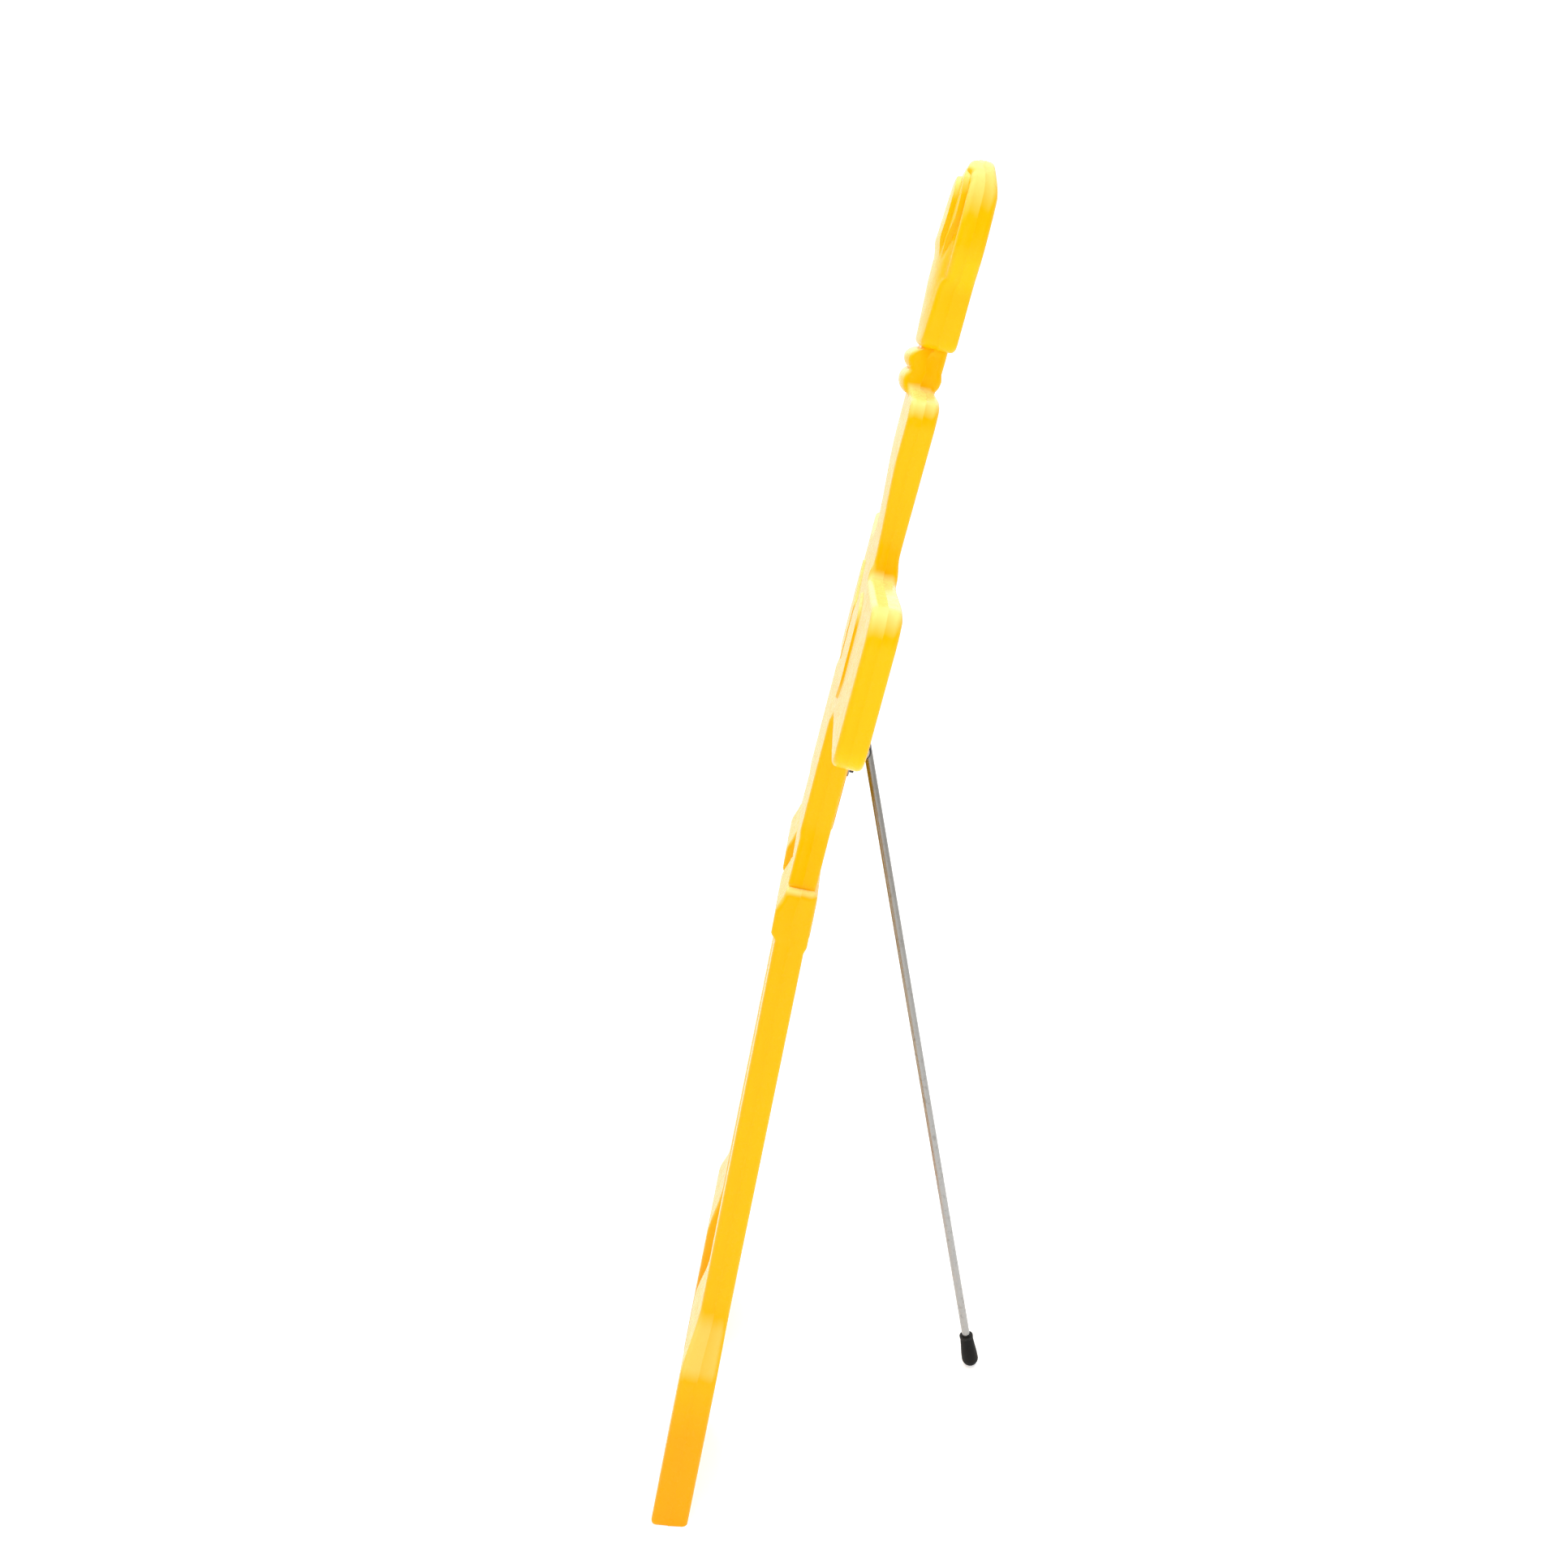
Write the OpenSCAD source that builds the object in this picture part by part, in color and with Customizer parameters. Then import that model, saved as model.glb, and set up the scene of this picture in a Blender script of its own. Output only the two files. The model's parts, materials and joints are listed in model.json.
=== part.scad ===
// Free-standing leaning training figure: a flat blow-moulded plastic panel in the outline of a
// player with folded arms, propped by one folding steel rod behind it.
// Frame: +X to the figure's left side, -Y is the way it faces, +Z up, millimetres.
// The origin is on the ground, in the middle of the area that the part covers.

/* [Stance] */
// Lean of the legs back from upright, degrees
leg_lean = 10.6; // [9:0.1:12]
// How much further back the torso leans than the legs, degrees
hip_bend = 3.0; // [2:0.1:4]
// Distance along the panel from the soles to the hip line
hip_s = 794; // [780:1:810]

/* [Mouldings] */
// Wall thickness of the hollow mouldings
wall = 3; // [2:0.5:4]
// Thickness of the torso and the arms, front to back
torso_t = 35; // [32:1:38]
// Thickness of the head
head_t = 33; // [30:1:36]
// Thickness of the thighs
thigh_t = 36; // [34:1:38]
// Thickness of the foot blocks
foot_t = 45; // [42:1:48]
// Height of the raised forearms on the front of the torso
arm_relief = 7; // [4:1:10]

/* [Outline] */
// Half width across the elbows
elbow_w = 372; // [350:1:385]
// Half width across the shoulders
shoulder_w = 158; // [140:1:190]
// Half width of the waist above the arms
waist_w = 128; // [110:1:140]
// Half width of the torso below the arms
hip_w = 148; // [142:1:156]
// Half width of the head
head_w = 116; // [110:1:120]
// Half width across the outside of the feet
foot_w = 262; // [240:1:270]
// Height of the foot blocks
foot_h = 196; // [180:1:210]

/* [Strut] */
// Diameter of the strut rod
rod_d = 11; // [10:0.5:12]
// Sideways offset of the strut's long leg from the middle, to the figure's right
rod_x = 67; // [66:1:68]
// Sideways offset of the short stop leg from the middle, to the figure's left
stop_x = 67; // [66:1:68]
// Distance along the torso from the soles to the strut's pivot
pivot_s = 956; // [950:1:960]
// Distance of the strut's pivot behind the back of the torso
pivot_n = 16; // [15.5:0.5:17]
// Lean of the open strut from upright, degrees
strut_lean = 10.1; // [9.5:0.1:11]
// Radius of the bends between the axle and the two legs of the strut
bend_r = 14; // [12:1:16]
// Diameter of the rubber tip at the foot of the strut
tip_d = 23; // [21:1:24]
// Length of the rubber tip
tip_len = 49; // [45:1:55]

/* [Hardware] */
// Diameter of the joint bolts
bolt_d = 8; // [6:1:8]
// Diameter of the bracket screws
screw_d = 5; // [4:0.5:5]

/* [Hidden] */
$fn = 48;
fit = 0.05;                      // radial clearance of a running fit
gap = 0.3;                       // clearance between pieces that only lie close
clear = 0.5;                     // radial clearance of a bolt in its hole
cut = 1;                         // how far a cutting shape runs past the face it cuts

torso_lean = leg_lean + hip_bend;
hip_y = hip_s * sin(leg_lean);
hip_z = hip_s * cos(leg_lean);

// Hip lap: the torso's tongues sit in sockets at the tops of the legs
socket_top = hip_s + 18;
socket_low = hip_s - 62;
socket_floor = 5;
cheek_front = 40;                // front of the socket, ahead of the back plane
cheek_back = 4;                  // how far the socket's back cheek stands behind the back plane
tongue_back = 6;
tongue_front = 28;
tongue_play = 3;                 // room in the socket for the bend at the hips
tongue_in = 60;
tongue_out = 140;
hip_bolt_x = [80, 120];
hip_bolt_s = hip_s - 24;
recess = 5.2;                    // depth of the pockets for bolt heads and nuts
head_d = 16;
washer_t = 1;
pocket_d = 19;
spacer_d = 12;

// Neck lap: the head's tang lies in a recess at the back of the torso's collar
tang_w = 46;
tang_low = 1358;
chin_s = 1414;
crown_s = 1610;
tang_back = 14;
tang_front = 22;
neck_bolt_x = [-24, 24];
neck_bolt_s = 1378;
insert_d = 10;
plug_d = 12;
socket_in = 40;
socket_out = 162;
shoulder_back = 3;               // how far the chest's back stands ahead of the back plane
sole_drop = 2;                   // extra depth of the soles, cut off flat at the ground

// Strut pivot, measured from the back lower edge of the feet
pivot_y = hip_y + (pivot_s - hip_s) * sin(torso_lean) + pivot_n * cos(torso_lean);
pivot_z = hip_z + (pivot_s - hip_s) * cos(torso_lean) - pivot_n * sin(torso_lean);
strut_len = (pivot_z - tip_d / 2) / cos(strut_lean);
tip_y = pivot_y + strut_len * sin(strut_lean);
stop_len = 46;                   // height of the stop leg above the axle
swage_w = 4;
washer_w = 2;

// Bracket on the raised boss on the back of the torso
boss_t = 5;
boss_w = 60;
boss_low = 850;
boss_top = 1014;
plate_t = 2;
plate_w = 54;
saddle_x = [-38, 38];
stop_pad_w = 18;
saddle_w = 20;
saddle_wall = 5;
saddle_foot = 28;
saddle_base = 5;
saddle_screw = 20;
washer_x = [saddle_x[0] - saddle_w / 2 - gap - washer_w, saddle_x[1] + saddle_w / 2 + gap];
pad_t = pivot_n - rod_d / 2 - boss_t - plate_t - gap;
insert_depth = 14;

// The ground print runs from the front lower edge of the feet to the back of the rubber tip
front_y = -foot_t * cos(leg_lean);
back_y = tip_y + tip_d / 2;
origin_y = (front_y + back_y) / 2;

// ---------- outline helpers ----------
function unit(v) = v / norm(v);
function turn(v, a) = [v.x * cos(a) - v.y * sin(a), v.x * sin(a) + v.y * cos(a)];
function flat(p) = [p.x, p.y];

// Arc of radius r that rounds the corner b between its neighbours a and c
function corner(a, b, c, r, steps = 6) =
    let (u = unit(a - b), v = unit(c - b), half = acos(u * v) / 2,
         start = b + u * r / tan(half), mid = b + unit(u + v) * r / sin(half),
         sweep = (180 - 2 * half) * sign(cross(b - a, c - b)))
    [for (i = [0:steps]) mid + turn(start - mid, sweep * i / steps)];

// Rounds every corner [x, s, r] of an outline
function rounded(p) = [
    for (i = [0:len(p) - 1])
        each corner(flat(p[(i + len(p) - 1) % len(p)]), flat(p[i]), flat(p[(i + 1) % len(p)]), p[i][2])];

// The same outline drawn in by d on every side
function inset(p, d) = [
    for (i = [0:len(p) - 1])
        let (b = p[i], u = unit(b - p[(i + len(p) - 1) % len(p)]), v = unit(p[(i + 1) % len(p)] - b),
             m = [-u.y - v.y, u.x + v.x])
        b + m * d / (1 + u * v)];

function both_sides(h) = concat(h, [for (i = [len(h) - 1:-1:0]) [-h[i].x, h[i].y, h[i][2]]]);

// ---------- outlines: [sideways, along the panel, corner radius] ----------
torso_outline = rounded(both_sides([
    [hip_w + 6, socket_top + gap, 6],
    [hip_w - 8, 880, 90],
    [hip_w - 4, 1017, 12],
    [elbow_w - 10, 1017, 26],
    [elbow_w, 1184, 28],
    [waist_w + 6, 1172, 12],
    [waist_w, 1210, 40],
    [shoulder_w + 4, 1362, 26],
    [62, 1370, 8],
    [56, chin_s - gap, 4]]));

head_outline = rounded(both_sides([
    [head_w - 40, chin_s, 16],
    [head_w - 32, chin_s + 36, 30],
    [head_w - 28, chin_s + 66, 30],
    [head_w, chin_s + 98, 25],
    [head_w - 2, crown_s, 80]]));

face_outline = rounded(both_sides([
    [44, chin_s + 12, 20],
    [62, chin_s + 60, 30],
    [66, chin_s + 88, 14]]));

brow_outline = rounded(both_sides([
    [86, chin_s + 92, 8],
    [90, crown_s - 56, 30],
    [60, crown_s - 14, 30]]));

leg_outline = rounded([
    [66, foot_h, 10],
    [foot_w - 24, foot_h, 20],
    [192, foot_h + 62, 40],
    [172, 700, 60],
    [164, socket_top, 8],
    [40, socket_top, 8],
    [40, 700, 40],
    [76, foot_h + 62, 40]]);

foot_outline = rounded([
    [60, -sole_drop, 8],
    [foot_w, -sole_drop, 8],
    [foot_w - 24, foot_h, 30],
    [192, foot_h + 62, 10],
    [76, foot_h + 62, 10],
    [66, foot_h, 20]]);

forearm_outline = rounded([
    [14, 1032, 12],
    [150, 1030, 24],
    [176, 1064, 20],
    [172, 1138, 26],
    [110, 1156, 30],
    [14, 1108, 12]]);

boss_outline = rounded(both_sides([
    [boss_w, boss_low, 20],
    [boss_w, boss_top, 20]]));

plate_outline = rounded(both_sides([
    [plate_w, pivot_s - 34, 8],
    [plate_w, pivot_s + 54, 8]]));

// ---------- shared shapes ----------
// Places children in the leg frame: X sideways, Y backwards, Z along the panel from the soles
module in_legs() {
    translate([0, -origin_y, 0]) rotate([-leg_lean, 0, 0]) children();
}

// Places children in the torso frame, which turns a little further back at the hips
module in_torso() {
    translate([0, -origin_y + hip_y, hip_z]) rotate([-torso_lean, 0, 0])
        translate([0, 0, -hip_s]) children();
}

// A flat slab with the given outline, from n0 to n1 ahead of the back plane
module slab(outline, n0, n1) {
    translate([0, -n0, 0]) rotate([90, 0, 0]) linear_extrude(n1 - n0) polygon(outline);
}

// A hollow moulding with the given outline
module shell(outline, n0, n1) {
    difference() {
        slab(outline, n0, n1);
        slab(inset(outline, wall), n0 + wall, n1 - wall);
    }
}

// A round bar through the panel, from n0 to n1 ahead of the back plane
module bar(x, s, d, n0, n1) {
    translate([x, -n0, s]) rotate([90, 0, 0]) cylinder(d = d, h = n1 - n0);
}

// A tube through the panel
module tube(x, s, d, bore, n0, n1) {
    difference() {
        bar(x, s, d, n0, n1);
        bar(x, s, bore, n0 - cut, n1 + cut);
    }
}

// A block given by its sideways, along-panel and ahead-of-back-plane limits
module block(x0, x1, s0, s1, n0, n1) {
    translate([x0, -n1, s0]) cube([x1 - x0, n1 - n0, s1 - s0]);
}

// A bolt or screw whose head is at the back; head_n is where the head bears
module screw(x, s, d, head_n, head_h, length) {
    bar(x, s, d * 2, head_n - head_h, head_n);
    bar(x, s, d, head_n - 0.1, head_n + length);
}

// ---------- head ----------
module head_moulding() {
    color("gold") in_torso() difference() {
        union() {
            shell(head_outline, 0, head_t);
            slab(face_outline, head_t - 1, head_t + 10);
            slab(brow_outline, head_t - 1, head_t + 10);
            block(-tang_w, tang_w, tang_low, chin_s + wall, tang_back, tang_front);
        }
        for (x = neck_bolt_x)
            bar(x, neck_bolt_s, bolt_d + 2 * clear, tang_back - cut, tang_front + cut);
        bar(0, chin_s + 60, plug_d, -cut, wall + cut);
    }
}

// ---------- torso ----------
module forearm() {
    slab(forearm_outline, torso_t - 1, torso_t + arm_relief);
}

module collar_roll(s, half, r) {
    translate([-half, 4 - torso_t, s]) rotate([0, 90, 0]) cylinder(r = r, h = 2 * half);
    for (x = [-half, half])
        translate([x, 4 - torso_t, s]) sphere(r = r);
}

// The raised boss on the back, which the strut bracket is screwed to
module back_boss() {
    slab(boss_outline, -boss_t, wall);
}

// What the chest's back is set in by, above the arms
module chest_cut() {
    block(-shoulder_w - 40, shoulder_w + 40, 1196, tang_low - gap, -cut, shoulder_back);
}

module torso_moulding() {
    color("gold") in_torso() difference() {
        union() {
            difference() {
                shell(torso_outline, 0, torso_t);
                chest_cut();
            }
            block(-waist_w + 1, waist_w - 1, 1192, tang_low - wall, shoulder_back, shoulder_back + wall);
            back_boss();
            for (side = [0, 1])
                mirror([side, 0, 0]) {
                    forearm();
                    block(tongue_in, tongue_out, socket_low + 6, socket_top + wall,
                          tongue_back, tongue_front);
                }
            collar_roll(1400, 50, 10);
            collar_roll(1378, 54, 11);
            block(wall - 62, 62 - wall, tang_low - wall, chin_s - gap, tang_front, torso_t - 1);
            for (x = saddle_x, ds = [-saddle_screw, saddle_screw])
                bar(x, pivot_s + ds, 18, 0, torso_t - 1);
        }
        block(-tang_w - gap, tang_w + gap, tang_low - gap, chin_s + cut, -cut, tang_front + gap);
        for (x = neck_bolt_x)
            bar(x, neck_bolt_s, insert_d, tang_front - cut, tang_front + gap + 10);
        for (side = [-1, 1], x = hip_bolt_x)
            bar(side * x, hip_bolt_s - 1, spacer_d + 2, tongue_back - cut, tongue_front + cut);
        for (x = saddle_x, ds = [-saddle_screw, saddle_screw])
            bar(x, pivot_s + ds, insert_d, -boss_t - cut, insert_depth - boss_t);
        bar(0, 1280, plug_d, shoulder_back - cut, shoulder_back + wall + cut);
    }
}

// ---------- legs ----------
module leg() {
    difference() {
        union() {
            difference() {
                shell(leg_outline, 0, thigh_t);
                block(0, 200, socket_low - socket_floor, socket_top + cut, -cut, thigh_t + cut);
                block(50, 280, -cut, foot_h + 40, wall, thigh_t + cut);
            }
            shell(foot_outline, 0, foot_t);
            block(socket_in, socket_out, socket_low - socket_floor, socket_top,
                  -cheek_back, cheek_front);
        }
        block(tongue_in - gap, tongue_out + gap, socket_low, socket_top + cut,
              tongue_back - gap - 1, tongue_front + gap + tongue_play);
        for (x = hip_bolt_x) {
            bar(x, hip_bolt_s, bolt_d + 2 * clear, -cheek_back - cut, cheek_front + cut);
            bar(x, hip_bolt_s, pocket_d, -cheek_back - cut, recess - cheek_back);
            bar(x, hip_bolt_s, pocket_d, cheek_front - recess, cheek_front + cut);
        }
        bar(150, 96, plug_d, -cut, wall + cut);
    }
}

// Everything under the ground, which the soles are cut off at
module under_ground() {
    translate([-400, -400, -40]) cube([800, 800, 40]);
}

module left_leg_moulding() {
    color("gold") difference() {
        in_legs() leg();
        under_ground();
    }
}

module right_leg_moulding() {
    color("gold") difference() {
        in_legs() mirror([1, 0, 0]) leg();
        under_ground();
    }
}

// ---------- neck and hip hardware ----------
module neck_bolts() {
    color("silver") in_torso()
        for (x = neck_bolt_x)
            screw(x, neck_bolt_s, bolt_d, tang_back - washer_t, 5, tang_front + 7 - tang_back);
}

module neck_washers() {
    color("silver") in_torso()
        for (x = neck_bolt_x)
            tube(x, neck_bolt_s, 18, bolt_d + 0.2, tang_back - washer_t, tang_back);
}

module neck_inserts() {
    color("goldenrod") in_torso()
        for (x = neck_bolt_x)
            tube(x, neck_bolt_s, insert_d, bolt_d, tang_front + gap, tang_front + gap + 9.8);
}

// Places children at every hip bolt
module at_hip_bolts() {
    in_legs() for (side = [-1, 1], x = hip_bolt_x)
        translate([side * x, 0, hip_bolt_s]) children();
}

module hip_bolts() {
    color("silver") at_hip_bolts() {
        bar(0, 0, head_d, recess - cheek_back - washer_t - 4, recess - cheek_back - washer_t);
        bar(0, 0, bolt_d, recess - cheek_back - washer_t - 0.1, cheek_front - 0.4);
    }
}

module hip_washers() {
    color("silver") at_hip_bolts() {
        tube(0, 0, head_d + 2, bolt_d + 0.2, recess - cheek_back - washer_t, recess - cheek_back);
        tube(0, 0, head_d + 2, bolt_d + 0.2, cheek_front - recess, cheek_front - recess + washer_t);
    }
}

module hip_nuts() {
    color("silver") at_hip_bolts()
        translate([0, recess - washer_t - cheek_front, 0]) rotate([90, 0, 0]) difference() {
            cylinder(d = 14.8, h = 3.6, $fn = 6);
            translate([0, 0, -cut]) cylinder(d = bolt_d, h = 3.6 + 2 * cut);
        }
}

module hip_spacers() {
    color("silver") at_hip_bolts()
        tube(0, 0, spacer_d, bolt_d + 0.2, tongue_back - gap - 1, tongue_front + gap + tongue_play);
}

// ---------- strut bracket ----------
module strut_bracket() {
    color("lightgray") in_torso() difference() {
        slab(plate_outline, -boss_t - plate_t, -boss_t);
        for (x = saddle_x, ds = [-saddle_screw, saddle_screw])
            bar(x, pivot_s + ds, screw_d + 2 * clear, -boss_t - plate_t - cut, cut - boss_t);
    }
}

// A saddle: a bridge over the axle with a screwed foot above and below it
module saddle(x) {
    base = boss_t + plate_t;
    color("dimgray") in_torso() difference() {
        union() {
            block(x - saddle_w / 2, x + saddle_w / 2, pivot_s - saddle_foot, pivot_s + saddle_foot,
                  -base - saddle_base, -base);
            block(x - saddle_w / 2, x + saddle_w / 2, pivot_s - rod_d / 2 - saddle_wall,
                  pivot_s + rod_d / 2 + saddle_wall, -pivot_n, -base);
            translate([x - saddle_w / 2, pivot_n, pivot_s]) rotate([0, 90, 0])
                cylinder(d = rod_d + 2 * saddle_wall, h = saddle_w);
        }
        block(x - saddle_w, x + saddle_w, pivot_s - 30, pivot_s + 30, -base, 0);
        translate([x - saddle_w / 2 - cut, pivot_n, pivot_s]) rotate([0, 90, 0])
            cylinder(d = rod_d + 2 * fit, h = saddle_w + 2 * cut);
        for (ds = [-saddle_screw, saddle_screw])
            bar(x, pivot_s + ds, screw_d + 2 * clear, -base - saddle_base - cut, cut - base);
    }
}

module left_saddle() {
    saddle(saddle_x[1]);
}

module right_saddle() {
    saddle(saddle_x[0]);
}

module bracket_screws() {
    color("silver") in_torso()
        for (x = saddle_x, ds = [-saddle_screw, saddle_screw])
            screw(x, pivot_s + ds, screw_d, -boss_t - plate_t - saddle_base, 3, 18);
}

module bracket_inserts() {
    color("goldenrod") in_torso()
        for (x = saddle_x, ds = [-saddle_screw, saddle_screw])
            tube(x, pivot_s + ds, insert_d, screw_d, -boss_t, insert_depth - boss_t - 0.2);
}

// Rubber pad that the stop leg rests on when the strut is open
module stop_pad() {
    color("black") in_torso()
        block(stop_x - stop_pad_w / 2, stop_x + stop_pad_w / 2, pivot_s + 26, pivot_s + 50,
              -boss_t - plate_t - pad_t, -boss_t - plate_t);
}

// ---------- strut ----------
// Places children in the strut frame: origin on the axle, -Z along the long leg
module in_strut() {
    translate([0, pivot_y - origin_y, pivot_z]) rotate([strut_lean, 0, 0]) children();
}

// A quarter bend of the rod in the X-Z plane, centred on the origin, from angle a
module quarter_bend(a) {
    rotate([90, 0, 0]) rotate([0, 0, a])
        rotate_extrude(angle = 90) translate([bend_r, 0]) circle(d = rod_d);
}

module strut_rod() {
    axle_x0 = bend_r - rod_x;
    axle_x1 = stop_x - bend_r;
    color("silver") in_strut() {
        translate([axle_x0, 0, 0]) rotate([0, 90, 0]) cylinder(d = rod_d, h = axle_x1 - axle_x0);
        translate([axle_x0, 0, -bend_r]) quarter_bend(90);
        translate([-rod_x, 0, -bend_r]) mirror([0, 0, 1]) cylinder(d = rod_d, h = strut_len - bend_r);
        rotate([-torso_lean - strut_lean, 0, 0]) {
            translate([axle_x1, 0, bend_r]) quarter_bend(-90);
            translate([stop_x, 0, bend_r]) cylinder(d = rod_d, h = stop_len - bend_r);
        }
        // Swaged shoulders that keep the washers against the saddles
        for (x = [washer_x[0] - gap - swage_w, washer_x[1] + washer_w + gap])
            translate([x, 0, 0]) rotate([0, 90, 0]) cylinder(d = rod_d + 3, h = swage_w);
    }
}

module pivot_washers() {
    color("white") in_strut()
        for (x = washer_x)
            translate([x, 0, 0]) rotate([0, 90, 0]) difference() {
                cylinder(d = rod_d + 6, h = washer_w);
                translate([0, 0, -cut]) cylinder(d = rod_d + 2 * fit, h = washer_w + 2 * cut);
            }
}

// Rubber tip, turned about the long leg: a collar, a flare and a domed foot
module strut_tip() {
    r = tip_d / 2;
    top = tip_len - r;
    color("black") in_strut() translate([-rod_x, 0, -strut_len]) rotate_extrude()
        polygon(concat(
            [for (a = [-90:10:0]) r * [cos(a), sin(a)]],
            [[r - 0.3, 8], [rod_d / 2 + 3.4, top - 4], [rod_d / 2 + 4, top - 3],
             [rod_d / 2 + 4, top], [rod_d / 2, top], [rod_d / 2, 0], [0, 0]]));
}

// ---------- plugs ----------
module blow_hole_plugs() {
    color("gold") {
        in_torso() {
            bar(0, chin_s + 60, plug_d - 0.1, 0, wall);
            bar(0, 1280, plug_d - 0.1, shoulder_back, shoulder_back + wall);
        }
        in_legs() for (x = [-150, 150])
            bar(x, 96, plug_d - 0.1, 0, wall);
    }
}

head_moulding();
torso_moulding();
left_leg_moulding();
right_leg_moulding();
neck_bolts();
neck_washers();
neck_inserts();
hip_bolts();
hip_washers();
hip_nuts();
hip_spacers();
strut_bracket();
left_saddle();
right_saddle();
bracket_screws();
bracket_inserts();
stop_pad();
strut_rod();
pivot_washers();
strut_tip();
blow_hole_plugs();
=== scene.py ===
import json
import math

import bmesh
import bpy
import numpy as np
from mathutils import Matrix, Vector
from mathutils.geometry import delaunay_2d_cdt


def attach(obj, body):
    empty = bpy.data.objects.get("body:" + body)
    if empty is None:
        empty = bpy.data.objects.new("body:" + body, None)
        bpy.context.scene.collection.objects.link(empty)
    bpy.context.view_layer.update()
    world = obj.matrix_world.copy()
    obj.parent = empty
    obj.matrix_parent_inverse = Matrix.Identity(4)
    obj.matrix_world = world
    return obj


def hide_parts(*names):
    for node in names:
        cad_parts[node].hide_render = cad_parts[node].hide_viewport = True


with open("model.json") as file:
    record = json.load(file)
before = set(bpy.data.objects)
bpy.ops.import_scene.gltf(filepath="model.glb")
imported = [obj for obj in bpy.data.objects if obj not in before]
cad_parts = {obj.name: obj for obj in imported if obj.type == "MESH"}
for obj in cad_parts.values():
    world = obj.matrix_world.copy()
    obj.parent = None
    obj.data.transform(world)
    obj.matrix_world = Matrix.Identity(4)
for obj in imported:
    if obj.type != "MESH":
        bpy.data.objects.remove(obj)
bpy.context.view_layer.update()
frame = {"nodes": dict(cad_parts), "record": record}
scene = bpy.context.scene
record = frame["record"]

# ---------------------------------------------------------------- the panel's own frames
# A point of the panel is (x, s, n) in mm: x sideways, s along the panel from the soles and
# n ahead of the back plane. The torso leans a little further back than the legs, from the hips.
LEG_LEAN = math.radians(10.6)
TORSO_LEAN = math.radians(13.6)
HIP_S = 794.0
SOLE_MID = 5.0                   # the sole mounts lie this far ahead of the heel line
HEEL_Y = record["mounts"][0]["pos_m"][1] * 1000 + SOLE_MID
HIP_Y = HEEL_Y + HIP_S * math.sin(LEG_LEAN)
HIP_Z = HIP_S * math.cos(LEG_LEAN)


def place(x, s, n, lean, y0, z0, s0):
    """World points in metres of panel points in mm."""
    along = s - s0
    y = y0 + along * math.sin(lean) - n * math.cos(lean)
    z = z0 + along * math.cos(lean) + n * math.sin(lean)
    return np.stack([x, y, z], -1) / 1000


def on_legs(x, s, n):
    level = np.maximum(s, -n * math.tan(LEG_LEAN))      # the soles end flat on the ground
    return place(x, level, n, LEG_LEAN, HEEL_Y, 0.0, 0.0)


def on_torso(x, s, n):
    return place(x, s, n, TORSO_LEAN, HIP_Y, HIP_Z, HIP_S)


# ---------------------------------------------------------------- camera
IMAGE_PX = 1932
SENSOR_MM = 36.0
FOCAL_PX = 1895.6
HEEL_TO_CAMERA = Vector((1.7811, 0.2168, 1.4377))
PITCH = math.radians(17.42)
YAW = math.radians(3.60)


def add_camera():
    """Looks along -X at the figure's left edge, a little down and a little towards its front."""
    forward = Vector((-math.cos(PITCH) * math.cos(YAW), -math.cos(PITCH) * math.sin(YAW), -math.sin(PITCH)))
    right = Vector((-math.sin(YAW), math.cos(YAW), 0.0))
    up = right.cross(forward)
    turn = Matrix((right, up, -forward)).transposed().to_4x4()
    data = bpy.data.cameras.new("camera")
    data.sensor_width = SENSOR_MM
    data.lens = FOCAL_PX / IMAGE_PX * SENSOR_MM
    data.clip_end = 60.0
    camera = bpy.data.objects.new("camera", data)
    camera.matrix_world = Matrix.Translation(HEEL_TO_CAMERA + Vector((0, HEEL_Y / 1000, 0))) @ turn
    scene.collection.objects.link(camera)
    scene.camera = camera


# ---------------------------------------------------------------- node helpers
def new_material(name):
    """A new material with its nodes, its links and its shader."""
    mat = bpy.data.materials.new(name)
    mat.use_nodes = True
    return mat, mat.node_tree.nodes, mat.node_tree.links, mat.node_tree.nodes["Principled BSDF"]


def noise(nodes, links, scale, detail=3.0, stretch=(1, 1, 1), distortion=0.0):
    """3-D noise in the object's own space, drawn out along an axis where stretch is below 1."""
    coord = nodes.new("ShaderNodeTexCoord")
    mapping = nodes.new("ShaderNodeMapping")
    mapping.inputs["Scale"].default_value = stretch
    tex = nodes.new("ShaderNodeTexNoise")
    tex.inputs["Scale"].default_value = scale
    tex.inputs["Detail"].default_value = detail
    tex.inputs["Distortion"].default_value = distortion
    links.new(coord.outputs["Object"], mapping.inputs["Vector"])
    links.new(mapping.outputs["Vector"], tex.inputs["Vector"])
    return tex.outputs["Fac"]


def remap(nodes, links, value, low, high, to_low, to_high):
    """Maps low to to_low and high to to_high, and holds those values outside."""
    node = nodes.new("ShaderNodeMapRange")
    for socket, number in zip(("From Min", "From Max", "To Min", "To Max"), (low, high, to_low, to_high)):
        node.inputs[socket].default_value = number
    links.new(value, node.inputs["Value"])
    return node.outputs["Result"]


MIX_A, MIX_B, MIX_RESULT = 6, 7, 2      # the colour sockets of a Mix node


def blend_colour(nodes, links, factor, a, b):
    """Mixes two colours, each given as an RGB tuple or an output socket."""
    node = nodes.new("ShaderNodeMix")
    node.data_type = "RGBA"
    links.new(factor, node.inputs["Factor"])
    for side, colour in zip((MIX_A, MIX_B), (a, b)):
        if isinstance(colour, tuple):
            node.inputs[side].default_value = (*colour, 1.0)
        else:
            links.new(colour, node.inputs[side])
    return node.outputs[MIX_RESULT]


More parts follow.
